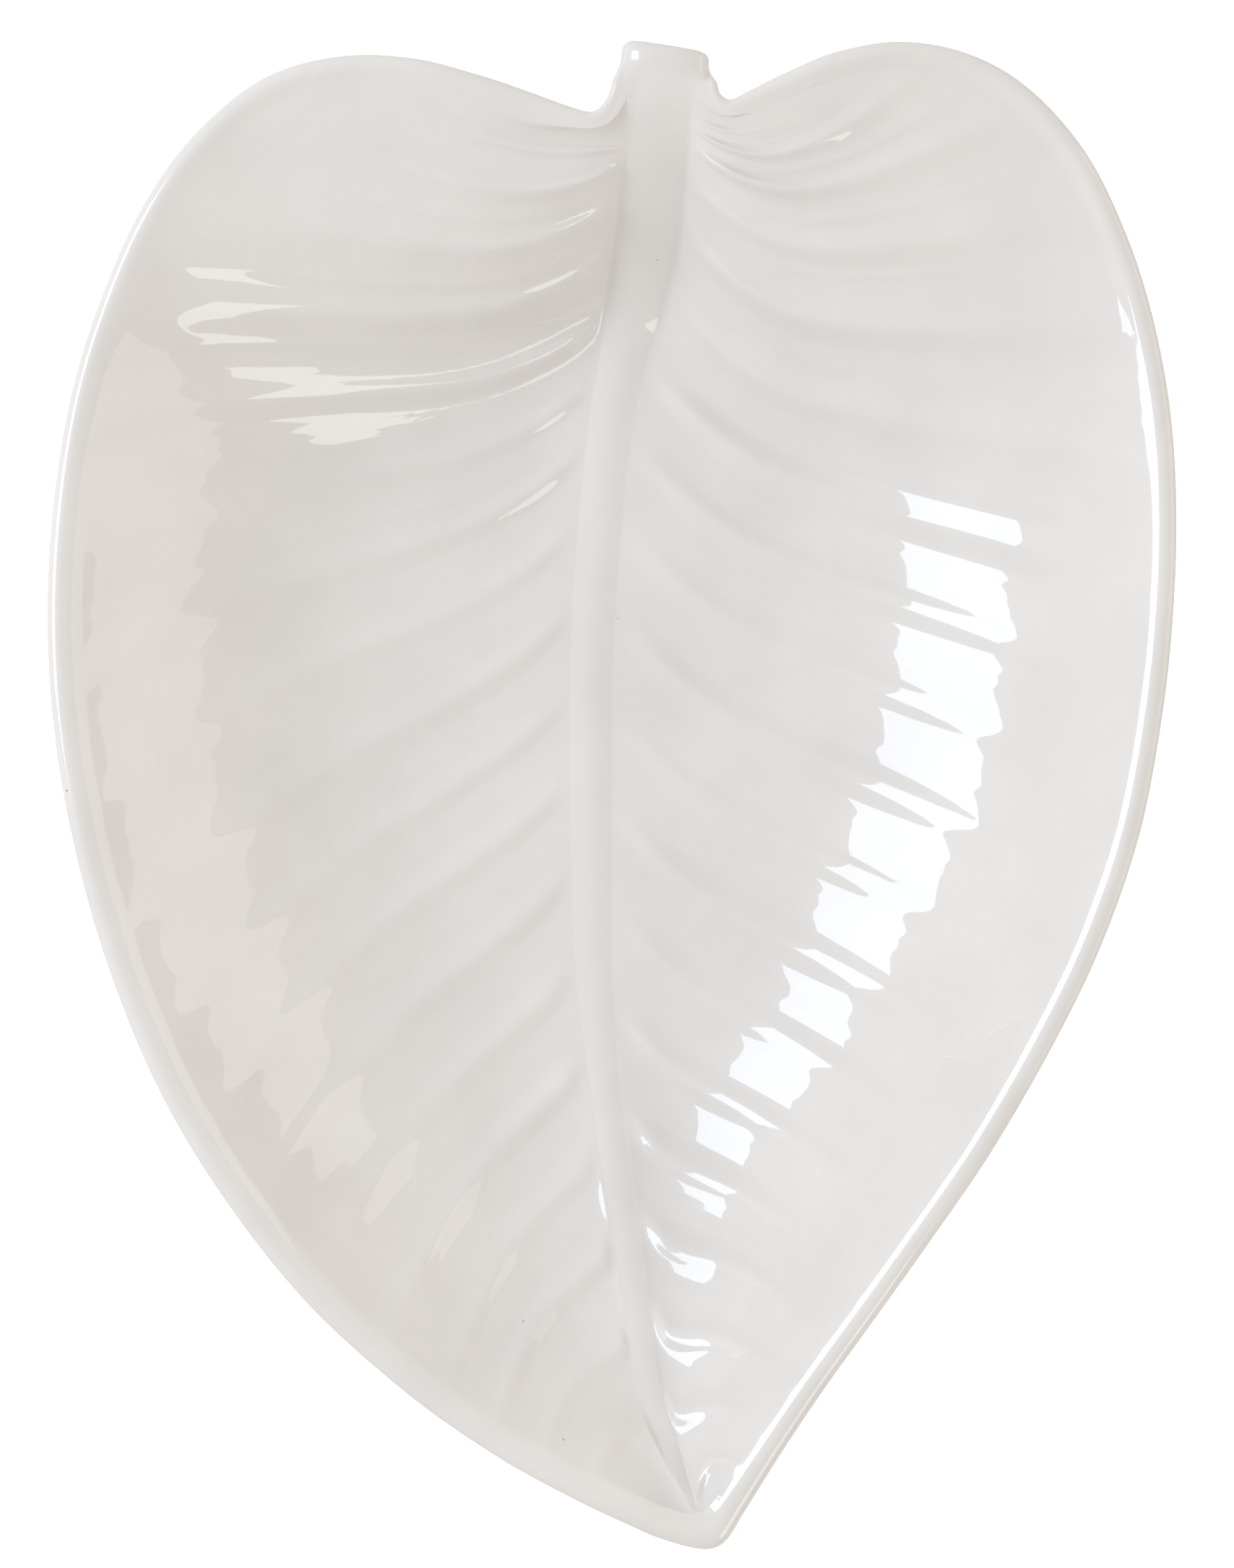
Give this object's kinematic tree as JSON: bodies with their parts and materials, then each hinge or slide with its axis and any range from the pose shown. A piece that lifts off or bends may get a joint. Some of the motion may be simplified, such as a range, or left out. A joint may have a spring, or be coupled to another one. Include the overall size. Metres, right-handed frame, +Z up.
{
  "type": "leaf shaped serving dish",
  "caption": "White glazed porcelain serving dish in the shape of a broad leaf, with a raised midrib, side veins in low relief, a rounded rim and a short stalk.",
  "frame": {"origin": "centre of the bounding box in plan, on the table that the foot ring stands on", "axes": "+Y from the tip to the stalk, +X to the right when the dish is seen from above with the stalk away from the viewer, +Z up out of the bowl"},
  "size_m": [0.225, 0.3001, 0.053],
  "materials": {
    "white_glaze": "glossy clear glaze over white porcelain",
    "bare_foot": "glazed on its sides, with an unglazed, wiped bottom face"
  },
  "bodies": {
    "root": {"leaf_blade": "white_glaze", "midrib": "white_glaze", "stalk": "white_glaze", "foot_ring": "bare_foot"}
  },
  "joints": []
}
